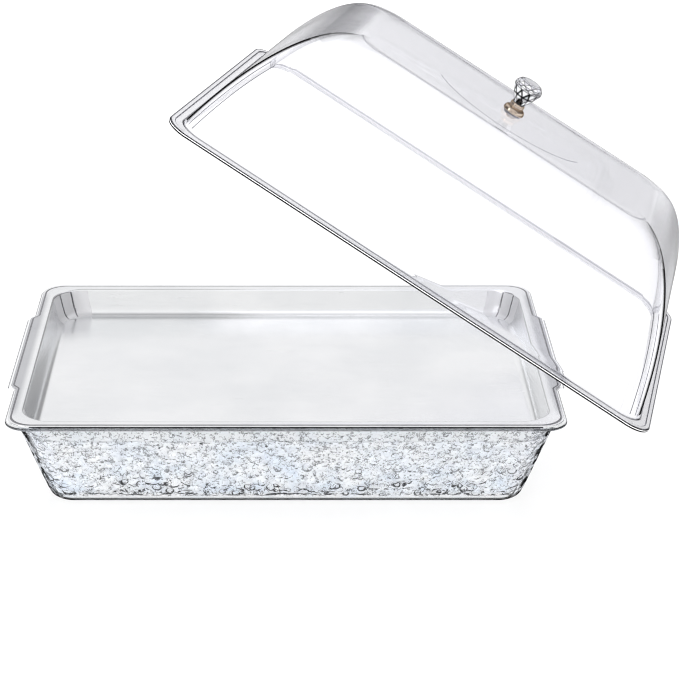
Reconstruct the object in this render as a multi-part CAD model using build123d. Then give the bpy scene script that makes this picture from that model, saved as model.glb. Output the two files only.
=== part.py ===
from build123d import *
import math
import os

# Chilled serving tray: a clear moulded ice tray, its bed of crushed ice, a steel
# serving pan that hangs on the tray's rim, and a clear dome cover with a cut
# crystal knob. Millimetres, +Z up. The origin is the middle of the tray's flat
# base, with X along the long side and Y along the short side.

# ---------------------------------------------------------------- ice tray
TRAY_L, TRAY_W = 410.0, 302.0          # rim, outside
TRAY_RIM_R = 18.0                      # rim corner radius, in plan
RIM_TOP = 71.9                         # rim's upper face above the table
RIM_T = 1.4                            # rim thickness
WALL_TOP_L, WALL_TOP_W = 397.4, 289.4  # wall outside, just under the rim
WALL_BOT_L, WALL_BOT_W = 351.6, 243.6  # wall outside, carried down to the table
WALL_TOP_R, WALL_BOT_R = 22.0, 18.0    # wall corner radii
BASE_R = 8.6                           # rounding between wall and base
WALL_T = 3.15                          # wall, measured level
FLOOR_T = 3.5
TAB_HALF_IN, TAB_HALF_OUT = 77.0, 71.0  # grip tab on each short end: root and outer half lengths
TRAY_TAB_X = 210.0                     # outer edge of the tray's tabs

# ---------------------------------------------------------------- crushed ice
ICE_GAP = 0.5                          # between the ice and the tray
ICE_TOP = 50.8

# ---------------------------------------------------------------- serving pan
PAN_L, PAN_W = 406.0, 298.0            # flange, outside
PAN_RIM_R = 16.5
PAN_TOP = 74.0                         # flange's upper face: the lid's seat
PAN_T = 0.8                            # sheet thickness
PAN_HEM = 72.2                         # lower edge of the turned-down hem
PAN_TAB_X = 207.5                      # outer edge of the pan's tabs
WELL_L, WELL_W = 386.6, 278.6          # well, inside, carried up to the flange's upper face
WELL_R = 24.0                          # well corner radius at the top
WELL_DRAFT = 15.0                      # degrees
WELL_FLOOR = 52.8                      # well floor, upper face
WELL_FLOOR_R = 8.0                     # rounding between well wall and floor
WELL_LIP_R = 2.4                       # rounding from flange into well

# ---------------------------------------------------------------- dome cover
LID_L, LID_W = 416.8, 306.8            # flange, outside
LID_RIM_R = 19.0
LID_RIM_T = 2.5
LID_SEAT = 74.3                        # flange's lower face when the cover is closed
DOME_L, DOME_W = 399.0, 288.4          # dome wall, outside, at the flange
DOME_H = 110.1                         # top of the dome above the flange's lower face
DOME_TOP_L, DOME_TOP_W = 218.0, 94.6   # flat of the top
END_N, END_M, END_LEAN = 2.7, 3.15, 0.335    # curve of the end walls: shoulder exponents and straight lean
SIDE_N, SIDE_M, SIDE_LEAN = 3.0, 3.35, 0.41  # curve of the side walls
DOME_R0, DOME_R1 = 18.5, 18.0          # corner radius at the foot and at the flat of the top
DOME_T = 2.2

# ---------------------------------------------------------------- knob
KNOB_HOLE = 5.0                        # hole through the dome's top
GASKET_D, GASKET_T = 15.2, 0.6
KNOB_D = 17.2                          # foot of the metal base
COLLAR_D = 11.5                        # cup that holds the crystal
KNOB_BASE_H = 8.0
CRYSTAL_D = 23.6                       # across the girdle
CRYSTAL_H = 19.3                       # above the cup
CRYSTAL_SIDES = 10
STUD_D, STUD_H, STUD_FIT = 4.4, 4.7, 0.1  # metal stud that carries the crystal: across, above the cup, gap round it
SCREW_D, SCREW_HEAD_D, SCREW_HEAD_H = 3.9, 8.0, 2.7
WASHER_D, WASHER_T = 14.0, 1.0
FIT = 0.02                             # between pieces that are screwed together

# ---------------------------------------------------------------- cover's swing
# The cover is drawn closed and then turned about this line to the raised place
# where it stands at rest.
SWING_POINT = (220.674, 0.0, -89.54)
SWING_DIR = (0.0, 0.91856, -0.39527)
SWING_DEG = 33.18


def slab(length, width, radius, z0, z1):
    return extrude(Pos(0, 0, z0) * RectangleRounded(length, width, radius), amount=z1 - z0)


def with_tabs(length, width, radius, tab_x):
    """Rim outline: a rounded rectangle with a low grip tab on each short end."""
    root = length / 2 - 3
    tab = Polygon((root, -TAB_HALF_IN), (length / 2, -TAB_HALF_IN), (tab_x, -TAB_HALF_OUT), (tab_x, TAB_HALF_OUT),
                  (length / 2, TAB_HALF_IN), (root, TAB_HALF_IN), align=None)
    return RectangleRounded(length, width, radius) + tab + mirror(tab, about=Plane.YZ)


def ruled(sections):
    return loft([Pos(0, 0, z) * RectangleRounded(l, w, r) for l, w, r, z in sections], ruled=True)


# ---------------------------------------------------------------- ice tray
wall_z = RIM_TOP - RIM_T
lean = (WALL_TOP_L - WALL_BOT_L) / wall_z
growth = (WALL_TOP_R - WALL_BOT_R) / wall_z


def wall(z, level_in=0.0, r_in=0.0):
    """Tray wall section at height z, moved inwards by level_in."""
    return (WALL_BOT_L + lean * z - 2 * level_in, WALL_BOT_W + lean * z - 2 * level_in, WALL_BOT_R + growth * z - r_in, z)


outer = ruled([wall(0), wall(RIM_TOP - 0.5)])
outer = fillet(outer.faces().sort_by(Axis.Z)[0].edges(), BASE_R)
cavity = ruled([wall(FLOOR_T, WALL_T, WALL_T), wall(RIM_TOP + 4, WALL_T, WALL_T)])
cavity = fillet(cavity.faces().sort_by(Axis.Z)[0].edges(), BASE_R - 2.5)
rim = extrude(Pos(0, 0, wall_z) * with_tabs(TRAY_L, TRAY_W, TRAY_RIM_R, TRAY_TAB_X), amount=RIM_T)
ice_tray = outer + rim - cavity

# ---------------------------------------------------------------- crushed ice
ice = ruled([wall(FLOOR_T + ICE_GAP, WALL_T + ICE_GAP, WALL_T), wall(ICE_TOP, WALL_T + ICE_GAP, WALL_T)])
crushed_ice = fillet(ice.faces().sort_by(Axis.Z)[0].edges(), BASE_R - 2.0)

# ---------------------------------------------------------------- serving pan
draft = math.tan(math.radians(WELL_DRAFT))
grow = PAN_T / math.cos(math.radians(WELL_DRAFT))


def well(z, out, r_out):
    d = (PAN_TOP - z) * draft
    return (WELL_L - 2 * d + 2 * out, WELL_W - 2 * d + 2 * out, WELL_R - 0.35 * d + r_out, z)


def over_sheet(floor_z, flange_z, out, floor_r, lip_r):
    """Everything above one face of the pan's sheet: the well and the space over the flange."""
    body = ruled([well(floor_z, out, out), well(flange_z, out, out)])
    body = fillet(body.faces().sort_by(Axis.Z)[0].edges(), floor_r)
    above = slab(PAN_L + 40, PAN_W + 40, 10, flange_z, flange_z + 12)
    joined = body + above
    mouth = [e for e in joined.edges() if abs(e.center().Z - flange_z) < 1e-3
             and abs(e.center().X) < WELL_L / 2 + 3 and abs(e.center().Y) < WELL_W / 2 + 3]
    return fillet(mouth, lip_r)


upper = over_sheet(WELL_FLOOR, PAN_TOP, 0.0, WELL_FLOOR_R, WELL_LIP_R)
lower = over_sheet(WELL_FLOOR - PAN_T, PAN_TOP - PAN_T, grow, WELL_FLOOR_R + PAN_T, WELL_LIP_R - PAN_T)
plan = with_tabs(PAN_L, PAN_W, PAN_RIM_R, PAN_TAB_X)
trim = extrude(Pos(0, 0, 40) * plan, amount=PAN_TOP + 5 - 40)
sheet = (lower - upper) & trim
hem = extrude(Pos(0, 0, PAN_HEM) * (plan - offset(plan, amount=-PAN_T, kind=Kind.INTERSECTION)), amount=PAN_TOP - PAN_T - PAN_HEM + 0.2)
serving_pan = sheet + hem

# ---------------------------------------------------------------- dome cover


def reach(k, foot, top, n, m, lean):
    """Half length of the dome at the share k of its height."""
    return top + (foot - top) * max(0.0, 1 - k ** n) ** (1 / m) * (1 - lean * k)


def section(k, less, height):
    """Dome section at the share k of its height, with its foot moved inwards by less."""
    x = reach(k, DOME_L / 2 - less, DOME_TOP_L / 2, END_N, END_M, END_LEAN)
    y = reach(k, DOME_W / 2 - less, DOME_TOP_W / 2, SIDE_N, SIDE_M, SIDE_LEAN)
    return (2 * x, 2 * y, DOME_R0 + (DOME_R1 - DOME_R0) * k - 0.8 * less, k * height)


# Stations along the profile, close together where it turns.
stations = [0.0, 0.2, 0.4, 0.55, 0.67, 0.77, 0.85, 0.91, 0.95, 0.975, 0.99, 0.997, 1.0]
outside = [section(k, 0.0, DOME_H) for k in stations]
inside = [section(k, DOME_T, DOME_H - DOME_T) for k in stations]


def skin(sections):
    return loft([Pos(0, 0, z) * RectangleRounded(l, w, r) for l, w, r, z in sections])


shell_out = skin(outside)
shell_in = skin(inside)
foot = inside[0]
mouth_cut = slab(foot[0], foot[1], foot[2], -5.0, 0.0)
cover = shell_out + slab(LID_L, LID_W, LID_RIM_R, 0, LID_RIM_T) - shell_in - mouth_cut
cover = cover - Pos(0, 0, DOME_H - 6) * Cylinder(KNOB_HOLE / 2, 12)

# ---------------------------------------------------------------- knob pieces, on the dome's axis
z_out = DOME_H + FIT
gasket = Pos(0, 0, z_out + GASKET_T / 2) * (Cylinder(GASKET_D / 2, GASKET_T) - Cylinder(KNOB_HOLE / 2, GASKET_T))

z_base = z_out + GASKET_T + FIT
half = [(0, 0), (KNOB_D / 2 - 0.3, 0), (KNOB_D / 2, 0.45), (KNOB_D / 2, 1.2), (KNOB_D / 2 - 0.3, 2.6), (7.6, 3.6), (6.2, 4.1), (5.3, 4.4),
        (5.3, 4.7), (COLLAR_D / 2, 5.2), (COLLAR_D / 2, 7.5), (5.3, KNOB_BASE_H), (4.55, KNOB_BASE_H), (4.55, 5.2),
        (STUD_D / 2, 5.2), (STUD_D / 2, KNOB_BASE_H + STUD_H - 0.5), (STUD_D / 2 - 0.6, KNOB_BASE_H + STUD_H), (0, KNOB_BASE_H + STUD_H)]
base = revolve(Plane.XZ * make_face(Polyline(*half, close=True)), Axis.Z)
base = base - Pos(0, 0, 2.3) * Cylinder(SCREW_D / 2 + 0.05, 4.7)
base = Pos(0, 0, z_base) * base

z_cup = z_base + KNOB_BASE_H
cut = [(4.4, z_cup - 2.7), (4.4, z_cup + 0.1), (5.1, z_cup + 1.0), (10.9, z_cup + 11.4), (CRYSTAL_D / 2, z_cup + 14.2),
       (CRYSTAL_D / 2, z_cup + 15.6), (8.0, z_cup + CRYSTAL_H)]
crystal = loft([Pos(0, 0, z) * RegularPolygon(r, CRYSTAL_SIDES) for r, z in cut], ruled=True)
crystal = crystal - Pos(0, 0, z_cup + 1.1) * Cylinder(STUD_D / 2 + STUD_FIT, 2 * (STUD_H + 0.2 - 1.1))

z_in = DOME_H - DOME_T - FIT
washer = Pos(0, 0, z_in - WASHER_T / 2) * (Cylinder(WASHER_D / 2, WASHER_T) - Cylinder(SCREW_D / 2 + 0.25, WASHER_T))
z_head = z_in - WASHER_T - FIT
head = Pos(0, 0, z_head - SCREW_HEAD_H / 2) * Cylinder(SCREW_HEAD_D / 2, SCREW_HEAD_H)
head = fillet(head.edges().sort_by(Axis.Z)[0], 1.4)
head = head - Pos(0, 0, z_head - SCREW_HEAD_H) * (Box(5.2, 1.1, 2.6) + Box(1.1, 5.2, 2.6))
shank_top = z_base + 4.4
screw = head + Pos(0, 0, (z_head + shank_top) / 2) * Cylinder(SCREW_D / 2, shank_top - z_head)

# ---------------------------------------------------------------- raise the cover to its rest place
swing = Axis(SWING_POINT, SWING_DIR)


def raised(piece):
    return (Pos(0, 0, LID_SEAT) * piece).rotate(swing, SWING_DEG)


nodes = {
    "ice_tray": ice_tray,
    "crushed_ice": crushed_ice,
    "serving_pan": serving_pan,
    "dome_cover": raised(cover),
    "knob_gasket": raised(gasket),
    "knob_base": raised(base),
    "knob_crystal": raised(crystal),
    "knob_washer": raised(washer),
    "knob_screw": raised(screw),
}

os.makedirs("parts", exist_ok=True)
for name, piece in nodes.items():
    solids = piece.solids()
    export_step(solids[0] if len(solids) == 1 else Compound(children=list(solids)), f"parts/{name}.step")
    box = piece.bounding_box()
    print(name, len(solids), round(piece.volume / 1000, 2), "cc", [round(v, 1) for v in (*box.min, *box.max)])
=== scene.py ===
import bpy
import math
import numpy as np
from mathutils import Matrix, Vector


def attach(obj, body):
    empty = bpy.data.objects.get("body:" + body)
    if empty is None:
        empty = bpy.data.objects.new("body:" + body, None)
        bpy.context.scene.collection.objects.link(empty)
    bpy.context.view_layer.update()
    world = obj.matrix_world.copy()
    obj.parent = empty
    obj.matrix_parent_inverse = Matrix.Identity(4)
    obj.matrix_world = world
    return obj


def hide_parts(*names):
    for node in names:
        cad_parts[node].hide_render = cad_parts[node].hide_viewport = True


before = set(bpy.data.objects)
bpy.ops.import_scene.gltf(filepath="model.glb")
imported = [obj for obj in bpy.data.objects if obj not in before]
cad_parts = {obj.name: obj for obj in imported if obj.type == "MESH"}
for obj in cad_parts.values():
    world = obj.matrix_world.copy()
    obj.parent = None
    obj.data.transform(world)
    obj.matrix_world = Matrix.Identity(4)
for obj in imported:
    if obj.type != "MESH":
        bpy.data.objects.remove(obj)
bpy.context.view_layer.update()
MM = 0.001

# ------------------------------------------------------------------ the object's sizes, millimetres
TRAY_HX, TRAY_HY, TRAY_RIM_R = 205.0, 151.0, 18.0
RIM_TOP, RIM_T = 71.9, 1.4
WALL_HX0, WALL_HY0, WALL_R0 = 175.8, 121.8, 18.0     # wall carried down to the table
WALL_SLOPE, WALL_R_GROW = 22.8 / 70.2, 4.0 / 70.2    # per mm of height
WALL_T, FLOOR_T, BASE_R = 3.15, 3.5, 8.6
TAB_IN, TAB_OUT = 77.0, 71.0
TRAY_TAB, PAN_TAB = 5.0, 4.5
PAN_HX, PAN_HY, PAN_RIM_R = 203.0, 149.0, 16.5
PAN_TOP, PAN_T, PAN_HEM = 74.0, 0.8, 72.2
WELL_HX, WELL_HY, WELL_R, WELL_FLOOR = 193.3, 139.3, 24.0, 52.8
LID_HX, LID_HY, LID_R, LID_T, LID_SEAT = 208.4, 153.4, 19.0, 2.5, 74.3
DOME_HX, DOME_HY, DOME_H, DOME_T = 199.5, 144.2, 110.1, 2.2
DOME_TX, DOME_TY = 109.0, 47.3
SWING_POINT = Vector((0.220674, 0.0, -0.08954))
SWING_DIR = Vector((0.0, 0.91856, -0.39527))
SWING = Matrix.Translation(SWING_POINT) @ Matrix.Rotation(math.radians(33.18), 4, SWING_DIR) @ Matrix.Translation(-SWING_POINT)


# ------------------------------------------------------------------ mesh helpers
def add_mesh(name, verts, faces, mats, smooth=True, place=None, index=None, tone=None):
    """A mesh object from points in millimetres, with a material number for every face where there are several."""
    mats = mats if isinstance(mats, list) else [mats]
    me = bpy.data.meshes.new(name)
    me.from_pydata([tuple(v) for v in np.asarray(verts, float) * MM], [], faces)
    if place is not None:
        me.transform(place)
    me.update()
    me.polygons.foreach_set("use_smooth", [smooth] * len(me.polygons))
    for m in mats:
        me.materials.append(m)
    if index is not None:
        me.polygons.foreach_set("material_index", [int(i) for i in index])
    # tone carries painted shade values, one per point
    if tone is not None:
        me.attributes.new("tone", "FLOAT", "POINT").data.foreach_set("value", [float(v) for v in tone])
    ob = bpy.data.objects.new(name, me)
    bpy.context.scene.collection.objects.link(ob)
    return ob


def spread(a, b, n):
    return np.linspace(a, b, n, endpoint=False)


def ring(hx, hy, r, nx, ny, nc, tab=0.0):
    """Points and outward directions round a rounded rectangle, the same count for every size."""
    ys, xs = spread(-(hy - r), hy - r, ny), spread(hx - r, -(hx - r), nx)
    ang = spread(0, math.pi / 2, nc)
    bump = lambda y: tab * np.clip((TAB_IN - np.abs(y)) / (TAB_IN - TAB_OUT), 0, 1)
    pts, out = [], []

    def put(x, y, ox, oy):
        x, y, ox, oy = np.broadcast_arrays(x, y, ox, oy)
        pts.append(np.stack([x, y], 1))
        out.append(np.stack([ox, oy], 1))

    put(hx + bump(ys), ys, 1.0, 0.0)
    put(hx - r + r * np.cos(ang), hy - r + r * np.sin(ang), np.cos(ang), np.sin(ang))
    put(xs, hy, 0.0, 1.0)
    put(-(hx - r) - r * np.sin(ang), hy - r + r * np.cos(ang), -np.sin(ang), np.cos(ang))
    put(-hx - bump(ys), -ys, -1.0, 0.0)
    put(-(hx - r) - r * np.cos(ang), -(hy - r) - r * np.sin(ang), -np.cos(ang), -np.sin(ang))
    put(-xs, -hy, 0.0, -1.0)
    put(hx - r + r * np.sin(ang), -(hy - r) - r * np.cos(ang), np.sin(ang), -np.cos(ang))
    return np.concatenate(pts), np.concatenate(out)


def corner_columns(nx, ny, nc):
    """Which strips of a ring run up its rounded corners."""
    mask = np.zeros(2 * (nx + ny) + 4 * nc, bool)
    for start in (ny, ny + nc + nx, 2 * ny + 2 * nc + nx, 2 * ny + 3 * nc + 2 * nx):
        mask[start - 1:start + nc] = True
    return mask


def level(xy, z):
    return np.column_stack([xy, np.full(len(xy), z) if np.isscalar(z) else z])


def loft(rows, first_cap=None, last_cap=None):
    """Quads between rows of equal count, with an optional centre point at each end."""
    n, m = len(rows[0]), len(rows)
    verts = np.concatenate(rows)
    j = np.arange(n)
    k = (j + 1) % n
    faces = []
    for i in range(m - 1):
        a = i * n
        faces += np.stack([a + j, a + k, a + n + k, a + n + j], 1).tolist()
    if first_cap is not None:
        faces += [[c, b, len(verts)] for b, c in zip(j.tolist(), k.tolist())]
        verts = np.vstack([verts, first_cap])
    if last_cap is not None:
        a = (m - 1) * n
        faces += [[a + b, a + c, len(verts)] for b, c in zip(j.tolist(), k.tolist())]
        verts = np.vstack([verts, last_cap])
    return verts, faces


def inward(rows, centre, steps):
    """Rows that close a flat from its edge towards a centre point."""
    edge = rows[-1]
    return rows + [edge + (np.asarray(centre) - edge) * s for s in steps]


def hash3(ix, iy, iz, seed):
    h = (ix.astype(np.int64) * 73856093) ^ (iy.astype(np.int64) * 19349663) ^ (iz.astype(np.int64) * 83492791) ^ (seed * 2654435761)
    h &= 0xFFFFFFFF
    h = ((h ^ (h >> 16)) * 0x45D9F3B) & 0xFFFFFFFF
    h = ((h ^ (h >> 16)) * 0x45D9F3B) & 0xFFFFFFFF
    return h ^ (h >> 16)


def cells(p, size, seed):
    """Nearest and second nearest distance, in cells, to scattered points, and the nearest point's own number and offset."""
    q = p / size
    base = np.floor(q).astype(np.int64)
    f1 = np.full(len(p), 9.0)
    f2 = np.full(len(p), 9.0)
    own = np.zeros(len(p))
    to = np.zeros((len(p), 3))
    for dx in (-1, 0, 1):
        for dy in (-1, 0, 1):
            for dz in (-1, 0, 1):
                c = base + (dx, dy, dz)
                h = hash3(c[:, 0], c[:, 1], c[:, 2], seed)
                f = np.stack([h & 1023, (h >> 10) & 1023, (h >> 20) & 1023], 1) / 1023.0
                v = c + f - q
                d = np.sqrt((v * v).sum(1))
                near = d < f1
                f2 = np.where(near, f1, np.minimum(f2, d))
                own = np.where(near, ((h * 40503) & 0xFFFF) / 65535.0, own)
                to = np.where(near[:, None], v, to)
                f1 = np.where(near, d, f1)
    return f1, f2, own, to


def wavy(p, size, seed):
    """Smooth noise from -1 to 1."""
    q = p / size
    b = np.floor(q).astype(np.int64)
    f = q - b
    f = f * f * (3 - 2 * f)
    total = np.zeros(len(p))
    for dx in (0, 1):
        for dy in (0, 1):
            for dz in (0, 1):
                h = hash3(b[:, 0] + dx, b[:, 1] + dy, b[:, 2] + dz, seed)
                w = np.where(dx, f[:, 0], 1 - f[:, 0]) * np.where(dy, f[:, 1], 1 - f[:, 1]) * np.where(dz, f[:, 2], 1 - f[:, 2])
                total += w * ((h & 0xFFFF) / 32767.5 - 1)
    return total


def step(x, a, b):
    t = np.clip((x - a) / (b - a), 0, 1)
    return t * t * (3 - 2 * t)


# ------------------------------------------------------------------ materials
def material(name):
    m = bpy.data.materials.new(name)
    m.use_nodes = True
    nt = m.node_tree
    nt.nodes.clear()
    return m, nt, nt.nodes, nt.links


def noise_node(nt, scale, detail=3.0, rough=0.55, stretch=None):
    tc = nt.nodes.new("ShaderNodeTexCoord")
    src = tc.outputs["Object"]
    if stretch:
        mp = nt.nodes.new("ShaderNodeMapping")
        mp.inputs["Scale"].default_value = stretch
        nt.links.new(src, mp.inputs["Vector"])
        src = mp.outputs["Vector"]
    n = nt.nodes.new("ShaderNodeTexNoise")
    n.inputs["Scale"].default_value = scale
    n.inputs["Detail"].default_value = detail
    n.inputs["Roughness"].default_value = rough
    nt.links.new(src, n.inputs["Vector"])
    return n


def ranged(nt, value, lo, hi, a=0.3, b=0.7):
    r = nt.nodes.new("ShaderNodeMapRange")
    r.inputs["From Min"].default_value = a
    r.inputs["From Max"].default_value = b
    r.inputs["To Min"].default_value = lo
    r.inputs["To Max"].default_value = hi
    nt.links.new(value, r.inputs["Value"])
    return r.outputs["Result"]


def bumped(nt, height, strength, distance):
    b = nt.nodes.new("ShaderNodeBump")
    b.inputs["Strength"].default_value = strength
    b.inputs["Distance"].default_value = distance
    nt.links.new(height, b.inputs["Height"])
    return b.outputs["Normal"]


EDGE_RAMP = ((0.0, 1.0), (0.90, 1.0), (0.955, 0.86), (0.985, 0.5), (1.0, 0.25))
SHOULDER_RAMP = ((0.0, 1.0), (0.785, 1.0), (0.84, 0.86), (0.885, 0.68), (0.93, 0.36), (0.965, 0.12), (1.0, 0.03))
END_RAMP = ((0.0, 1.0), (0.80, 1.0), (0.88, 0.94), (0.93, 0.86), (0.965, 0.7), (0.985, 0.4), (1.0, 0.1))
CORNER_RAMP = ((0.0, 1.0), (0.55, 1.0), (0.62, 0.55), (0.67, 0.08), (0.73, 0.01), (1.0, 0.005))
FADE_LOW_RAMP = ((0.0, 1.0), (0.57, 1.0), (0.64, 0.6), (0.70, 0.2), (0.78, 0.14), (1.0, 0.12))
FADE_RAMP = ((0.0, 1.0), (0.60, 1.0), (0.68, 0.8), (0.75, 0.5), (0.84, 0.45), (1.0, 0.45))
FAINT_RAMP = ((0.0, 1.0), (0.78, 1.0), (0.88, 0.95), (0.94, 0.9), (1.0, 0.85))
BACK_LOW_RAMP = ((0.0, 1.0), (0.60, 1.0), (0.75, 0.88), (0.90, 0.74), (1.0, 0.66))
BACK_HIGH_RAMP = ((0.0, 1.0), (0.70, 1.0), (0.82, 0.9), (0.92, 0.8), (1.0, 0.7))
DASH_RAMP = ((0.0, 1.0), (0.50, 1.0), (0.58, 0.5), (0.65, 0.05), (0.72, 0.01), (1.0, 0.005))
FOOT_RAMP = ((0.0, 1.0), (0.36, 1.0), (0.45, 0.6), (0.53, 0.06), (0.60, 0.01), (1.0, 0.005))
CRYSTAL_RAMP = ((0.0, 1.0), (0.66, 1.0), (0.78, 0.8), (0.86, 0.35), (0.93, 0.1), (1.0, 0.02))


def clear(name, tint, ior, rough, wave, wave_scale, edge=EDGE_RAMP, lines=None, side=None, broken=0.0, tone=False):
    """Clear polished plastic or crystal: faint moulding waves, a little haze, darker where it is seen edge-on, and
    shadows that let light through.
    With edge None the tint is even. side "in" tints light on the way in only, "out" on the way out only.
    tone multiplies in the mesh's painted shade values."""
    m, nt, nodes, links = material(name)
    out = nodes.new("ShaderNodeOutputMaterial")
    p = nodes.new("ShaderNodeBsdfGlass")
    p.inputs["IOR"].default_value = ior
    colour = None
    flat = (tint[0], tint[1], tint[2], 1)
    if edge:
        lw = nodes.new("ShaderNodeLayerWeight")
        lw.inputs["Blend"].default_value = 0.5
        ramp = nodes.new("ShaderNodeValToRGB")
        els = ramp.color_ramp.elements
        for i, (pos, c) in enumerate(edge):
            e = els[0] if i == 0 else (els[1] if i == 1 else els.new(pos))
            e.position = pos
            e.color = (tint[0] * c, tint[1] * c, tint[2] * c, 1)
        links.new(lw.outputs["Facing"], ramp.inputs["Fac"])
        colour = ramp.outputs["Color"]
    if tone:
        shade = nodes.new("ShaderNodeAttribute")
        shade.attribute_name = "tone"
        mix = nodes.new("ShaderNodeMix")
        mix.data_type = "RGBA"
        mix.blend_type = "MULTIPLY"
        mix.inputs["Factor"].default_value = 1.0
        links.new(colour, mix.inputs["A"])
        links.new(shade.outputs["Color"], mix.inputs["B"])
        colour = mix.outputs["Result"]

    def blend(colour, factor, towards):
        mix = nodes.new("ShaderNodeMix")
        mix.data_type = "RGBA"
        links.new(factor, mix.inputs["Factor"])
        mix.inputs["A"].default_value = flat
        if colour is not None:
            links.new(colour, mix.inputs["A"])
        mix.inputs["B"].default_value = towards
        return mix.outputs["Result"]

    if side:
        back = nodes.new("ShaderNodeNewGeometry").outputs["Backfacing"]
        if side == "out":
            back = maths(nt, "SUBTRACT", 1.0, back)
        colour = blend(colour, back, (0.99, 0.99, 1.0, 1))
    if broken:              # noise breaks the edge-on darkening into painted dashes, standing in for the relief behind it
        n = noise_node(nt, broken, 2.0, 0.6, (1.0, 1.0, 0.75))
        colour = blend(colour, smooth_range(nt, n.outputs["Fac"], 0.46, 0.56, 0.0, 0.92), (0.97, 0.98, 1.0, 1))
    normal = None
    if wave:
        w = noise_node(nt, wave_scale, 2.0, 0.5)
        normal = bumped(nt, w.outputs["Fac"], wave, 0.002)
    if lines:
        colour, normal = lines(nt, flat, normal)
    if colour is None:
        p.inputs["Color"].default_value = flat
    else:
        links.new(colour, p.inputs["Color"])
    haze = noise_node(nt, 55.0, 4.0, 0.6)
    links.new(ranged(nt, haze.outputs["Fac"], rough[0], rough[1], 0.45, 0.75), p.inputs["Roughness"])
    if normal is not None:
        links.new(normal, p.inputs["Normal"])
    t = nodes.new("ShaderNodeBsdfTransparent")
    t.inputs["Color"].default_value = (1, 1, 1, 1)
    lp = nodes.new("ShaderNodeLightPath")
    mix = nodes.new("ShaderNodeMixShader")
    links.new(lp.outputs["Is Shadow Ray"], mix.inputs["Fac"])
    links.new(p.outputs["BSDF"], mix.inputs[1])
    links.new(t.outputs["BSDF"], mix.inputs[2])
    links.new(mix.outputs["Shader"], out.inputs["Surface"])
    return m


def maths(nt, op, a, b=None, c=None):
    n = nt.nodes.new("ShaderNodeMath")
    n.operation = op
    for i, v in enumerate((a, b, c)):
        if v is None:
            continue
        if isinstance(v, (int, float)):
            n.inputs[i].default_value = v
        else:
            nt.links.new(v, n.inputs[i])
    return n.outputs[0]


def smooth_range(nt, value, a, b, lo=0.0, hi=1.0):
    r = nt.nodes.new("ShaderNodeMapRange")
    r.interpolation_type = "SMOOTHSTEP"
    r.inputs["From Min"].default_value = a
    r.inputs["From Max"].default_value = b
    r.inputs["To Min"].default_value = lo
    r.inputs["To Max"].default_value = hi
    nt.links.new(value, r.inputs["Value"])
    return r.outputs["Result"]


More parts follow.
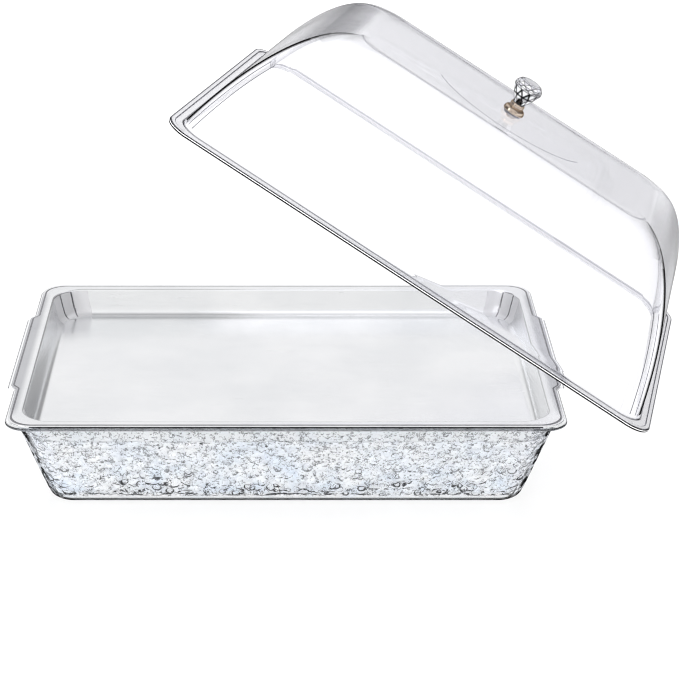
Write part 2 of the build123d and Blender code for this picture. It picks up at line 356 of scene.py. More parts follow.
def ice_lines(nt, flat, normal):
    """Fine cracks, grain outlines, bubbles and pits of the moulded crushed-ice face, painted dark to stand in for the
    dark refraction along them, with a bump from the same pattern.
    """
    nodes, links = nt.nodes, nt.links
    tc = nodes.new("ShaderNodeTexCoord")
    at = tc.outputs["Object"]
    sep = nodes.new("ShaderNodeSeparateXYZ")
    links.new(at, sep.inputs["Vector"])
    z = sep.outputs["Z"]

    def warped(scale, amount):
        bend = noise_node(nt, scale, 2.0, 0.5)
        off = nodes.new("ShaderNodeVectorMath")
        off.operation = "MULTIPLY_ADD"
        off.inputs[1].default_value = (amount, amount, amount)
        links.new(bend.outputs["Color"], off.inputs[0])
        links.new(at, off.inputs[2])
        return off.outputs["Vector"]

    def voronoi(vector, scale, feature):
        v = nodes.new("ShaderNodeTexVoronoi")
        v.feature = feature
        v.inputs["Scale"].default_value = scale
        links.new(vector, v.inputs["Vector"])
        return v

    def patch(scale, a, b, detail=2.0, lo=0.0, hi=1.0):
        return smooth_range(nt, noise_node(nt, scale, detail, 0.6).outputs["Fac"], a, b, lo, hi)

    def both(*values):
        total = values[0]
        for v in values[1:]:
            total = maths(nt, "MULTIPLY", total, v)
        return total

    def most(*values):
        total = values[0]
        for v in values[1:]:
            total = maths(nt, "MAXIMUM", total, v)
        return total

    near, far = warped(380.0, 0.0034), warped(130.0, 0.0075)
    high = smooth_range(nt, z, 0.012, 0.046)
    low = smooth_range(nt, z, 0.044, 0.020)
    fine = smooth_range(nt, voronoi(near, 520.0, "DISTANCE_TO_EDGE").outputs["Distance"], 0.03, 0.13, 1.0, 0.0)
    fine = both(fine, patch(300.0, 0.54, 0.62), smooth_range(nt, high, 0.0, 1.0, 0.45, 0.7))
    cracks = smooth_range(nt, voronoi(far, 235.0, "DISTANCE_TO_EDGE").outputs["Distance"], 0.02, 0.075, 1.0, 0.0)
    cracks = both(cracks, patch(190.0, 0.55, 0.61), smooth_range(nt, high, 0.0, 1.0, 1.0, 0.7))
    flow = maths(nt, "PINGPONG", maths(nt, "MULTIPLY", noise_node(nt, 120.0, 3.0, 0.55).outputs["Fac"], 13.0), 0.5)
    flow = both(smooth_range(nt, flow, 0.02, 0.075, 1.0, 0.0), patch(170.0, 0.57, 0.63), 0.8)
    # bubbles: ringed with painted shade, heavier on their lower side
    ball = voronoi(warped(160.0, 0.0022), 118.0, "F1")
    own = nodes.new("ShaderNodeSeparateColor")
    links.new(ball.outputs["Color"], own.inputs["Color"])
    size = maths(nt, "MULTIPLY_ADD", own.outputs["Red"], 0.2, 0.2)
    rim = maths(nt, "ABSOLUTE", maths(nt, "SUBTRACT", ball.outputs["Distance"], size))
    under = nodes.new("ShaderNodeSeparateXYZ")
    links.new(ball.outputs["Position"], under.inputs["Vector"])
    under = maths(nt, "SUBTRACT", under.outputs["Z"], z)
    heavy = smooth_range(nt, under, -0.001, 0.0022, 0.012, 0.075)
    rim = maths(nt, "SUBTRACT", 1.0, maths(nt, "DIVIDE", rim, heavy))
    rim = both(smooth_range(nt, rim, 0.0, 0.5), smooth_range(nt, own.outputs["Green"], 0.52, 0.6), low)
    # small pits and strokes along the foot, painted dark
    pit = voronoi(near, 165.0, "F1")
    chance = nodes.new("ShaderNodeSeparateColor")
    links.new(pit.outputs["Color"], chance.inputs["Color"])
    pit = both(smooth_range(nt, pit.outputs["Distance"], 0.09, 0.16, 1.0, 0.0), smooth_range(nt, chance.outputs["Red"], 0.80, 0.84))
    strokes = []
    for height, swing, scale, a in ((0.0118, 0.0085, 70.0, 0.40), (0.0165, 0.011, 95.0, 0.52)):
        wave = maths(nt, "MULTIPLY_ADD", noise_node(nt, scale, 3.0, 0.55).outputs["Fac"], swing, z)
        wave = maths(nt, "ABSOLUTE", maths(nt, "SUBTRACT", wave, height))
        thick = patch(210.0, 0.4, 0.62, 2.0, 0.0004, 0.0013)
        strokes.append(both(smooth_range(nt, maths(nt, "DIVIDE", wave, thick), 0.35, 0.9, 1.0, 0.0), patch(110.0, a, a + 0.1)))
    total = most(both(cracks, 0.95), fine, flow, rim, pit, *strokes)
    total = both(total, smooth_range(nt, z, 0.0045, 0.0075), patch(700.0, 0.32, 0.55, 2.0, 0.5, 1.0))
    blue = nodes.new("ShaderNodeMix")
    blue.data_type = "RGBA"
    blue.inputs["A"].default_value = flat
    blue.inputs["B"].default_value = (0.92, 0.96, 1.0, 1)
    links.new(both(patch(48.0, 0.46, 0.66), smooth_range(nt, low, 0.0, 1.0, 0.35, 0.85)), blue.inputs["Factor"])
    mix = nodes.new("ShaderNodeMix")
    mix.data_type = "RGBA"
    # painted shade: the near-black colour of all these lines
    mix.inputs["B"].default_value = (0.003, 0.004, 0.008, 1)
    links.new(total, mix.inputs["Factor"])
    links.new(blue.outputs["Result"], mix.inputs["A"])
    b = nodes.new("ShaderNodeBump")
    b.invert = True
    b.inputs["Strength"].default_value = 0.6
    b.inputs["Distance"].default_value = 0.0005
    links.new(total, b.inputs["Height"])
    if normal is not None:
        links.new(normal, b.inputs["Normal"])
    return mix.outputs["Result"], b.outputs["Normal"]


def metal(name, dark, light, rough, scale, stretch, bump, metallic=1.0, painted_end_shade=None):
    """Polished metal with fine finishing lines and soft cloudy variation. Its last argument darkens it beyond a reach
    along X, a painted shade standing in for the dimmer reflections there.
    """
    m, nt, nodes, links = material(name)
    out = nodes.new("ShaderNodeOutputMaterial")
    p = nodes.new("ShaderNodeBsdfPrincipled")
    p.inputs["Metallic"].default_value = metallic
    lines = noise_node(nt, scale, 5.0, 0.6, stretch)
    cloud = noise_node(nt, 14.0, 3.0, 0.5)
    ramp = nodes.new("ShaderNodeMix")
    ramp.data_type = "RGBA"
    ramp.inputs["A"].default_value = dark
    ramp.inputs["B"].default_value = light
    links.new(ranged(nt, cloud.outputs["Fac"], 0.0, 1.0, 0.35, 0.65), ramp.inputs["Factor"])
    colour = ramp.outputs["Result"]

    def blend(factor, a, b, kind):
        mix = nodes.new("ShaderNodeMix")
        mix.data_type = "RGBA"
        mix.blend_type = kind
        links.new(factor, mix.inputs["Factor"])
        for key, value in (("A", a), ("B", b)):
            if isinstance(value, tuple):
                mix.inputs[key].default_value = value
            else:
                links.new(value, mix.inputs[key])
        return mix.outputs["Result"]

    # painted shade: the ends' flange and tabs are darkened, standing in for their dimmer reflections
    if painted_end_shade:
        sep = nodes.new("ShaderNodeSeparateXYZ")
        links.new(nodes.new("ShaderNodeTexCoord").outputs["Object"], sep.inputs["Vector"])
        far = smooth_range(nt, maths(nt, "ABSOLUTE", sep.outputs["X"]), painted_end_shade[0], painted_end_shade[1])
        far = maths(nt, "MULTIPLY", far, smooth_range(nt, maths(nt, "ABSOLUTE", sep.outputs["Y"]), 0.137, 0.112))
        colour = blend(far, colour, (painted_end_shade[2], painted_end_shade[2], painted_end_shade[2] * 1.03, 1), "MULTIPLY")
    links.new(colour, p.inputs["Base Color"])
    links.new(ranged(nt, lines.outputs["Fac"], rough[0], rough[1], 0.3, 0.7), p.inputs["Roughness"])
    if bump:
        links.new(bumped(nt, lines.outputs["Fac"], bump, 0.0004), p.inputs["Normal"])
    links.new(p.outputs["BSDF"], out.inputs["Surface"])
    return m


def ice_material(name, deep, pale, contrast):
    """Crushed ice: white and clear grains with pale blue depths."""
    m, nt, nodes, links = material(name)
    out = nodes.new("ShaderNodeOutputMaterial")
    p = nodes.new("ShaderNodeBsdfPrincipled")
    tc = nodes.new("ShaderNodeTexCoord")
    v = nodes.new("ShaderNodeTexVoronoi")
    v.inputs["Scale"].default_value = 210.0
    links.new(tc.outputs["Object"], v.inputs["Vector"])
    big = noise_node(nt, 42.0, 4.0, 0.6)
    ramp = nodes.new("ShaderNodeValToRGB")
    e = ramp.color_ramp.elements
    e[0].position, e[0].color = 0.30, deep
    e[1].position, e[1].color = 0.62, pale
    links.new(big.outputs["Fac"], ramp.inputs["Fac"])
    tone = nodes.new("ShaderNodeMix")
    tone.data_type = "RGBA"
    tone.blend_type = "MULTIPLY"
    tone.inputs["Factor"].default_value = contrast
    grey = nodes.new("ShaderNodeSeparateColor")
    links.new(v.outputs["Color"], grey.inputs["Color"])
    shade = nodes.new("ShaderNodeCombineColor")
    for c in ("Red", "Green", "Blue"):
        links.new(ranged(nt, grey.outputs["Red"], 0.55 if c != "Blue" else 0.68, 1.0, 0.0, 1.0), shade.inputs[c])
    links.new(ramp.outputs["Color"], tone.inputs["A"])
    links.new(shade.outputs["Color"], tone.inputs["B"])
    links.new(tone.outputs["Result"], p.inputs["Base Color"])
    links.new(ranged(nt, grey.outputs["Green"], 0.04, 0.35, 0.0, 1.0), p.inputs["Roughness"])
    fine = noise_node(nt, 600.0, 3.0, 0.6)
    links.new(bumped(nt, fine.outputs["Fac"], 0.35, 0.0006), p.inputs["Normal"])
    p.inputs["IOR"].default_value = 1.31
    links.new(p.outputs["BSDF"], out.inputs["Surface"])
    return m


TRAY_TINT, DOME_TINT = (0.99, 0.995, 1.0), (0.99, 0.99, 1.0)
MAT_TRAY = clear("tray_clear_plastic", TRAY_TINT, 1.49, (0.0, 0.03), 0.05, 60.0)
MAT_TRAY_CORNER = clear("tray_corner_plastic", TRAY_TINT, 1.49, (0.0, 0.03), 0.05, 60.0, edge=DASH_RAMP, side="in", broken=190.0)
MAT_TRAY_FOOT = clear("tray_foot_plastic", TRAY_TINT, 1.49, (0.0, 0.03), 0.05, 60.0, edge=FOOT_RAMP, side="in")
MAT_RELIEF = clear("tray_ice_relief", TRAY_TINT, 1.49, (0.02, 0.08), 0.0, 60.0, edge=None, lines=ice_lines)
# painted shade on the tray's clear rim: a grey edge line, a dark ledge for the shadow under the pan's hem, and a light
# grey band
MAT_RIM_LINE = clear("tray_rim_edge", (0.40, 0.40, 0.41), 1.49, (0.02, 0.06), 0.0, 60.0, edge=None, side="in")
MAT_RIM_DARK = clear("tray_rim_ledge", (0.22, 0.22, 0.225), 1.49, (0.02, 0.06), 0.0, 60.0, edge=None, side="in")
MAT_RIM_SOFT = clear("tray_rim_front", (0.78, 0.78, 0.79), 1.49, (0.02, 0.06), 0.0, 60.0, edge=None, side="in")
MAT_DOME = clear("cover_clear_plastic", DOME_TINT, 1.49, (0.0, 0.02), 0.03, 16.0)
# painted shade: the shoulder, end and upper corner plastics multiply in the mesh's painted shade values, and the ends'
# plastic is also tinted grey
MAT_SHOULDER = clear("cover_shoulder_plastic", DOME_TINT, 1.49, (0.0, 0.02), 0.03, 16.0, edge=SHOULDER_RAMP, side="in", tone=True)
MAT_END = clear("cover_end_plastic", (0.95, 0.95, 0.965), 1.49, (0.0, 0.02), 0.03, 16.0, edge=END_RAMP, side="in", tone=True)
MAT_CORNER = clear("cover_corner_plastic", DOME_TINT, 1.49, (0.0, 0.02), 0.03, 16.0, edge=CORNER_RAMP, side="in")
MAT_BACK_LOW = clear("cover_corner_inside_low", DOME_TINT, 1.49, (0.0, 0.02), 0.03, 16.0, edge=BACK_LOW_RAMP, side="in")
MAT_BACK_HIGH = clear("cover_corner_inside_high", DOME_TINT, 1.49, (0.0, 0.02), 0.03, 16.0, edge=BACK_HIGH_RAMP, side="in")
MAT_FADE = clear("cover_corner_upper", DOME_TINT, 1.49, (0.0, 0.02), 0.03, 16.0, edge=FADE_RAMP, side="in", tone=True)
MAT_FADE_LOW = clear("cover_corner_middle", DOME_TINT, 1.49, (0.0, 0.02), 0.03, 16.0, edge=FADE_LOW_RAMP, side="in")
MAT_FADE_TOP = clear("cover_corner_top", DOME_TINT, 1.49, (0.0, 0.02), 0.03, 16.0, edge=FAINT_RAMP, side="in", tone=True)
# painted shade on the cover's clear plastic: grey flange faces, a black outer edge, a dark lip, and grey lines on its
# steps, corners and top, standing in for the darkening that refraction gives those edges
MAT_FLANGE = clear("cover_flange_plastic", (0.90, 0.90, 0.915), 1.49, (0.0, 0.02), 0.0, 16.0, edge=None, side="in")
MAT_EDGE = clear("cover_flange_edge", (0.03, 0.03, 0.033), 1.49, (0.02, 0.06), 0.0, 16.0, edge=None, side="in")
MAT_LIP = clear("cover_flange_lip", (0.26, 0.26, 0.275), 1.49, (0.02, 0.06), 0.0, 16.0, edge=None, side="in")
MAT_LINE = clear("cover_step_line", (0.40, 0.40, 0.42), 1.49, (0.02, 0.06), 0.0, 16.0, edge=None, side="in")
MAT_TOP_LINE = clear("cover_top_edge_line", (0.70, 0.70, 0.72), 1.49, (0.02, 0.06), 0.0, 16.0, edge=None, side="in")
MAT_STREAK = clear("cover_corner_streak", (0.26, 0.26, 0.28), 1.49, (0.02, 0.06), 0.0, 16.0, edge=None, side="in")
MAT_FINE = clear("cover_shoulder_fine_line", (0.38, 0.38, 0.40), 1.30, (0.02, 0.06), 0.0, 16.0, edge=None, side="in")
MAT_FAINT = clear("cover_faint_line", (0.70, 0.70, 0.72), 1.49, (0.02, 0.06), 0.0, 16.0, edge=None, side="in")
MAT_CRYSTAL = clear("knob_crystal_clear", (0.99, 0.99, 1.0), 1.32, (0.0, 0.01), 0.0, 1.0, edge=CRYSTAL_RAMP)
# painted shade on the crystal: near-black glass for dark facets and dark strips along the facet edges
MAT_FACET = clear("knob_crystal_deep", (0.02, 0.02, 0.024), 1.32, (0.0, 0.01), 0.0, 1.0, edge=None)
MAT_ARRIS = clear("knob_crystal_arris", (0.06, 0.06, 0.066), 1.32, (0.02, 0.06), 0.0, 1.0, edge=None, side="in")
MAT_ARRIS_LOW = clear("knob_crystal_low_arris", (0.02, 0.02, 0.024), 1.32, (0.02, 0.06), 0.0, 1.0, edge=None, side="in")
MAT_GASKET = clear("gasket_silicone", (0.93, 0.93, 0.95), 1.41, (0.15, 0.35), 0.05, 200.0)
MAT_STEEL = metal("pan_polished_steel", (0.86, 0.87, 0.88, 1), (0.93, 0.935, 0.94, 1), (0.16, 0.28), 900.0, (0.06, 1.0, 1.0), 0.05, painted_end_shade=(0.1955, 0.2005, 0.64))
MAT_SATIN = metal("pan_satin_underside", (0.93, 0.94, 0.955, 1), (0.97, 0.975, 0.985, 1), (0.5, 0.65), 900.0, (0.06, 1.0, 1.0), 0.08, metallic=0.25)
# painted shadow: a near-black strip for the gap under the pan's hem
MAT_HEM_SHADOW = metal("pan_hem_painted_shadow", (0.006, 0.006, 0.007, 1), (0.014, 0.014, 0.015, 1), (0.5, 0.65), 900.0, (0.06, 1.0, 1.0), 0.05, metallic=0.0)
for node in MAT_HEM_SHADOW.node_tree.nodes:
    if node.type == "BSDF_PRINCIPLED":
        node.inputs["Specular IOR Level"].default_value = 0.08
# painted shade: darker steel for the flange's shallow groove
MAT_GROOVE = metal("pan_rim_groove", (0.20, 0.20, 0.215, 1), (0.27, 0.27, 0.285, 1), (0.2, 0.3), 900.0, (0.06, 1.0, 1.0), 0.05)
MAT_KNOB = metal("knob_champagne_metal", (0.46, 0.38, 0.31, 1), (0.62, 0.52, 0.43, 1), (0.07, 0.14), 700.0, (1.0, 1.0, 0.2), 0.03)
for node in MAT_KNOB.node_tree.nodes:
    if node.type == "BSDF_PRINCIPLED":
        node.inputs["Specular Tint"].default_value = (0.30, 0.24, 0.19, 1)      # darker towards the edge
# painted shade: near-black metal for the cup's hollow and the stud in it, so they read dark through the crystal
MAT_CUP = metal("knob_cup_hollow", (0.015, 0.013, 0.012, 1), (0.03, 0.025, 0.02, 1), (0.2, 0.4), 700.0, (1.0, 1.0, 0.2), 0.03)
MAT_SCREW = metal("plated_fastener", (0.62, 0.63, 0.65, 1), (0.75, 0.75, 0.77, 1), (0.15, 0.3), 1500.0, (1.0, 1.0, 1.0), 0.08)
# painted shade: darker steel for the drawn corners and their creases
MAT_DRAWN = metal("pan_drawn_corner", (0.60, 0.60, 0.615, 1), (0.69, 0.69, 0.705, 1), (0.28, 0.42), 500.0, (1.0, 1.0, 0.3), 0.05, metallic=0.55)
MAT_CREASE = metal("pan_corner_crease", (0.26, 0.26, 0.275, 1), (0.36, 0.36, 0.375, 1), (0.2, 0.34), 500.0, (1.0, 1.0, 0.3), 0.05)
# painted highlight: opaque white for the upright edge faces of the clear plastic
MAT_PAINTED_HIGHLIGHT = metal("plastic_edge_painted_highlight", (0.93, 0.93, 0.94, 1), (0.98, 0.98, 0.99, 1), (0.12, 0.25), 600.0, (1.0, 1.0, 1.0), 0.02, metallic=0.0)
MAT_ICE = ice_material("crushed_ice_surface", (0.90, 0.945, 1.0, 1), (1.0, 1.0, 1.0, 1), 0.20)
# painted shade: a darker, greyer copy of the ice for its top
MAT_ICE_TOP = ice_material("crushed_ice_top_painted_shade", (0.46, 0.55, 0.63, 1), (0.72, 0.77, 0.81, 1), 0.55)


# ------------------------------------------------------------------ ice tray
def wall_at(z, inset=0.0, r_in=0.0):
    return WALL_HX0 + WALL_SLOPE * z - inset, WALL_HY0 + WALL_SLOPE * z - inset, WALL_R0 + WALL_R_GROW * z - r_in


def footed(rows_z, inset, floor_z, fillet):
    """(half length, half width, corner radius, z) down a tapered wall and round into its floor."""
    draft = math.atan(WALL_SLOPE)
    hx, hy, r = wall_at(floor_z, inset, inset)
    back = fillet * (1 / math.cos(draft) - math.tan(draft))
    rows = []
    for a in np.radians(np.linspace(-90, -math.degrees(draft), 9)):
        inw = back - fillet * math.cos(a)
        rows.append((hx - inw, hy - inw, max(r - inw * 0.9, 3.0), floor_z + fillet * (1 + math.sin(a))))
    top = rows[-1][3]
    for z in rows_z:
        if z > top + 0.4:
            rows.append((*wall_at(z, inset, inset), z))
    return rows


TNX, TNY, TNC = 470, 330, 34


def tray_ring(hx, hy, r, tab=0.0):
    return ring(hx, hy, r, TNX, TNY, TNC, tab)


def relief(p, z):
    """Height of the moulded crushed-ice relief on the wall's inner face, 0 to about 1."""
    warp = np.stack([wavy(p, 6.0, 11), wavy(p, 6.0, 12), wavy(p, 6.0, 13)], 1)
    f1, f2, own, _ = cells(p + warp * 0.9, 3.1, 21)
    fine = (0.35 + 0.65 * own) * np.clip(1.05 - (f1 / 0.72) ** 2, 0, 1) * step(f2 - f1, 0.0, 0.22)
    g1, g2, gown, _ = cells(p + warp * 1.6, 7.4, 22)
    big = (0.4 + 0.6 * gown) * np.clip(1.1 - (g1 / 0.75) ** 2, 0, 1) * step(g2 - g1, 0.0, 0.16)
    low = 1 - step(z + 5 * wavy(p, 18.0, 31), 10, 34)
    grain = 0.12 * wavy(p, 1.5, 41)
    return (1 - 0.75 * low) * fine * 0.75 + (0.25 + 0.95 * low) * big + grain


def build_tray():
    rows = []
    outer_z = np.linspace(9, 68.8, 24)
    foot = footed(outer_z, 0.0, 0.0, BASE_R)
    for hx, hy, r, z in foot:
        rows.append(level(tray_ring(hx, hy, r)[0], z))
    # under the rim, round its edge, over its top and down to the inner wall
    zu = RIM_TOP - RIM_T
    hx, hy, r = wall_at(zu - 0.6)
    rim = [(hx + 0.15, hy + 0.15, r, zu - 0.5, 0), (hx + 0.7, hy + 0.7, r, zu - 0.05, 0), (hx + 2.2, hy + 2.2, r - 1, zu, 0.1)]
    e = 0.5
    for a in np.radians([-90, -60, -30, 0]):
        rim.append((TRAY_HX - e + e * math.cos(a), TRAY_HY - e + e * math.cos(a), TRAY_RIM_R, zu + e + e * math.sin(a), TRAY_TAB))
    for a in np.radians([0, 30, 60, 90]):
        rim.append((TRAY_HX - e + e * math.cos(a), TRAY_HY - e + e * math.cos(a), TRAY_RIM_R, RIM_TOP - e + e * math.sin(a), TRAY_TAB))
    rim.append((TRAY_HX - 1.1, TRAY_HY - 1.1, TRAY_RIM_R, RIM_TOP, TRAY_TAB))
    rim.append((TRAY_HX - 3, TRAY_HY - 3, TRAY_RIM_R + 1, RIM_TOP, TRAY_TAB * 0.6))
    ix, iy, ir = wall_at(RIM_TOP, WALL_T, WALL_T)
    rim += [(ix + 1.6, iy + 1.6, ir + 1.2, RIM_TOP, 0), (ix + 0.5, iy + 0.5, ir + 0.4, RIM_TOP - 0.35, 0), (ix, iy, ir, RIM_TOP - 1.3, 0)]
    for hx, hy, r, z, tab in rim:
        rows.append(level(tray_ring(hx, hy, r, tab)[0], z))
    # inner wall with its relief, down to the floor
    inner = footed(np.arange(12.0, 70.2, 0.75), WALL_T, FLOOR_T, BASE_R - 2.5)[::-1]
    draft = math.atan(WALL_SLOPE)
    for hx, hy, r, z in inner:
        xy, out = tray_ring(hx, hy, r)
        p = level(xy, z)
        h = relief(p, p[:, 2]) * step(p[:, 2], 4.0, 10.0) * (1 - step(p[:, 2], 65.5, 68.0))
        d = 1.15 * (h - 0.25)
        p[:, :2] += out * (d * math.cos(draft))[:, None]
        p[:, 2] -= d * math.sin(draft)
        rows.append(p)
    rows = inward(rows, (0, 0, FLOOR_T), [0.06, 0.2, 0.5])
    first = rows[0]
    under = [first + (np.array([0, 0, 0.0]) - first) * s for s in (0.5, 0.2, 0.06)]
    n_foot, n_rim, n_in = len(foot), len(rim), len(inner)
    bands = [0] * (len(under) + len(rows) - 1)
    at = len(under) + n_foot
    # painted shade: a grey line over the rim's rounded edge
    for i in range(6, 11):
        bands[at + i] = 2
    for i in range(at + n_rim, at + n_rim + n_in - 1):
        bands[i] = 1
    verts, faces = loft(under + rows, first_cap=(0, 0, 0.0), last_cap=(0, 0, FLOOR_T))
    n = len(rows[0])
    index = np.repeat(bands, n).reshape(-1, n)
    wall = np.arange(len(bands))
    wall = (wall >= len(under)) & (wall < at)
    low = wall & (np.arange(len(bands)) < len(under) + 5)
    index = np.where((index == 0) & wall[:, None] & corner_columns(TNX, TNY, TNC)[None, :], 3, index)
    index = np.where(low[:, None], 4, index)
    long_side = np.zeros(n, bool)
    long_side[TNY + TNC:TNY + TNC + TNX] = True
    long_side[2 * TNY + 3 * TNC + TNX:2 * TNY + 3 * TNC + 2 * TNX] = True
    # along the long sides the rim's edge is painted light grey and its ledge dark grey, a painted shadow under the
    # pan's hem
    index[at + 6:at + 11, long_side] = 6
    index[at + 11, long_side] = 5
    # painted shade on the rim's edge: lighter grey round the corners, with a grey line along it there, and a painted
    # white highlight on the short faces of the grip tabs
    index[at + 6:at + 11, ~long_side] = 6
    index[at + 8:at + 10, ~long_side] = 2
    edge = rows[at + 8]
    along = np.roll(edge, -1, axis=0) - edge
    tab = (np.abs(along[:, 0]) > 0.45 * np.linalg.norm(along[:, :2], axis=1)) & ~long_side & ~corner_columns(TNX, TNY, TNC)
    index[at + 3:at + 12, tab] = 7
    index = np.concatenate([index.ravel(), np.zeros(2 * n, int)])
    ob = add_mesh("ice_tray_shell", verts, faces, [MAT_TRAY, MAT_RELIEF, MAT_RIM_LINE, MAT_TRAY_CORNER, MAT_TRAY_FOOT, MAT_RIM_DARK, MAT_RIM_SOFT, MAT_PAINTED_HIGHLIGHT], index=index)
    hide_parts("ice_tray")
    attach(ob, "base")


build_tray()


# ------------------------------------------------------------------ crushed ice
def shard(rng, size):
    """One piece of crushed ice: a cut, uneven lump."""
    g = (1 + 5 ** 0.5) / 2
    v = np.array([(-1, g, 0), (1, g, 0), (-1, -g, 0), (1, -g, 0), (0, -1, g), (0, 1, g), (0, -1, -g), (0, 1, -g), (g, 0, -1), (g, 0, 1), (-g, 0, -1), (-g, 0, 1)], float)
    v /= np.linalg.norm(v[0])
    f = [(0, 11, 5), (0, 5, 1), (0, 1, 7), (0, 7, 10), (0, 10, 11), (1, 5, 9), (5, 11, 4), (11, 10, 2), (10, 7, 6), (7, 1, 8), (3, 9, 4), (3, 4, 2), (3, 2, 6), (3, 6, 8), (3, 8, 9), (4, 9, 5), (2, 4, 11), (6, 2, 10), (8, 6, 7), (9, 8, 1)]
    pts, tri = [tuple(x) for x in v], []
    mid = {}

    def half(a, b):
        key = (min(a, b), max(a, b))
        if key not in mid:
            m = (np.array(pts[a]) + pts[b]) / 2
            pts.append(tuple(m / np.linalg.norm(m)))
            mid[key] = len(pts) - 1
        return mid[key]

    for a, b, c in f:
        ab, bc, ca = half(a, b), half(b, c), half(c, a)
        tri += [(a, ab, ca), (b, bc, ab), (c, ca, bc), (ab, bc, ca)]
    p = np.array(pts)
    for _ in range(7):
        n = rng.normal(size=3)
        n /= np.linalg.norm(n)
        d = rng.uniform(0.45, 0.85)
        over = np.clip(p @ n - d, 0, None)
        p = p - over[:, None] * n
    p *= rng.uniform(0.65, 1.25, 3) * size
    q = rng.normal(size=(3, 3))
    q, _ = np.linalg.qr(q)
    return p @ q.T, tri


def build_ice():
    n = (300, 210, 22)
    rows = []
    inset, floor = WALL_T + 1.7, FLOOR_T + 1.4

    def ridge(p):
        """Uneven height of the ice that stands up beside the pan."""
        flat = p * (1, 1, 0)
        share = 0.86 + 0.14 * cells(flat, 3.0, 53)[2]
        p[:, 2] = np.where(p[:, 2] > 50.0, 50.0 + (p[:, 2] - 50.0) * share, p[:, 2])
        return p

    for hx, hy, r, z in footed(np.arange(12.0, 56.9, 1.12), inset, floor, 8.0):
        xy, out = ring(hx, hy, r, *n)
        p = level(xy, z)
        f1, f2, own, to = cells(p, 8.5, 51)
        g1, g2, gown, gto = cells(p, 3.6, 52)
        h = 1.3 * own + 0.9 * np.clip((f2 - f1) * 2.2, 0, 1) + 0.5 * gown * np.clip((g2 - g1) * 2.5, 0, 1) - 1.5
        h *= step(np.full(len(p), z), floor, floor + 4) * 0.8 + 0.2
        high = step(np.full(len(p), z), 48.0, 52.0)
        h = h * (1 - high) + (0.75 + 0.35 * (gown - 0.5)) * high
        p[:, :2] += out * h[:, None]
        rows.append(ridge(p))
    for hx, z in ((189.6, 56.9), (188.9, 55.6), (187.6, 54.0), (185.6, 52.7), (182.5, 51.6), (179.0, 50.6)):
        xy, out = ring(hx, hx - 54.0, 20.0, *n)
        p = level(xy, z)
        rows.append(ridge(p))
    top = rows[-1]
    for s in np.linspace(0.012, 0.985, 74):
        p = top + (np.array([0, 0, 44.5]) - top) * s
        f1, f2, own, to = cells(p * (1, 1, 0) + (0, 0, 44.0), 11.0, 61)
        g1, g2, gown, gto = cells(p * (1, 1, 0) + (0, 0, 44.0), 4.6, 62)
        z = 41.5 + 3.2 * own + 2.4 * np.clip((f2 - f1) * 2, 0, 1) + 1.0 * gown * np.clip((g2 - g1) * 2, 0, 1)
        edge = 1 - step(np.full(len(p), s), 0.004, 0.06)
        p[:, 2] = z + (50.0 - z) * edge
        rows.append(p)
    first = rows[0]
    under = [first + (np.array([0, 0, floor]) - first) * s for s in (0.5, 0.2)]
    verts, faces = loft(under + rows, first_cap=(0, 0, floor), last_cap=(0, 0, 44.5))
    verts, faces = [verts], list(faces)
    count = len(verts[0])
    rng = np.random.default_rng(7)
    for _ in range(620):
        size = rng.uniform(3.5, 8.5)
        x, y = rng.uniform(-176, 176), rng.uniform(-122, 122)
        p, tri = shard(rng, size)
        p = p + (x, y, 0)
        p[:, 2] += min(45.5 + rng.uniform(-1.5, 2.0), 50.7 - p[:, 2].max())
        verts.append(p)
        faces += [tuple(i + count for i in t) for t in tri]
        count += len(p)
    verts = np.concatenate(verts)
    # painted shade: the ice's top takes the darker copy, offsetting the overhead light
    inner = (np.abs(verts[:, 0]) < 179.5) & (np.abs(verts[:, 1]) < 125.5) & (verts[:, 2] > 38.0)
    index = [int(all(inner[i] for i in f)) for f in faces]
    ob = add_mesh("crushed_ice_heap", verts, faces, [MAT_ICE, MAT_ICE_TOP], smooth=False, index=index)
    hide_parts("crushed_ice")
    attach(ob, "base")


build_ice()


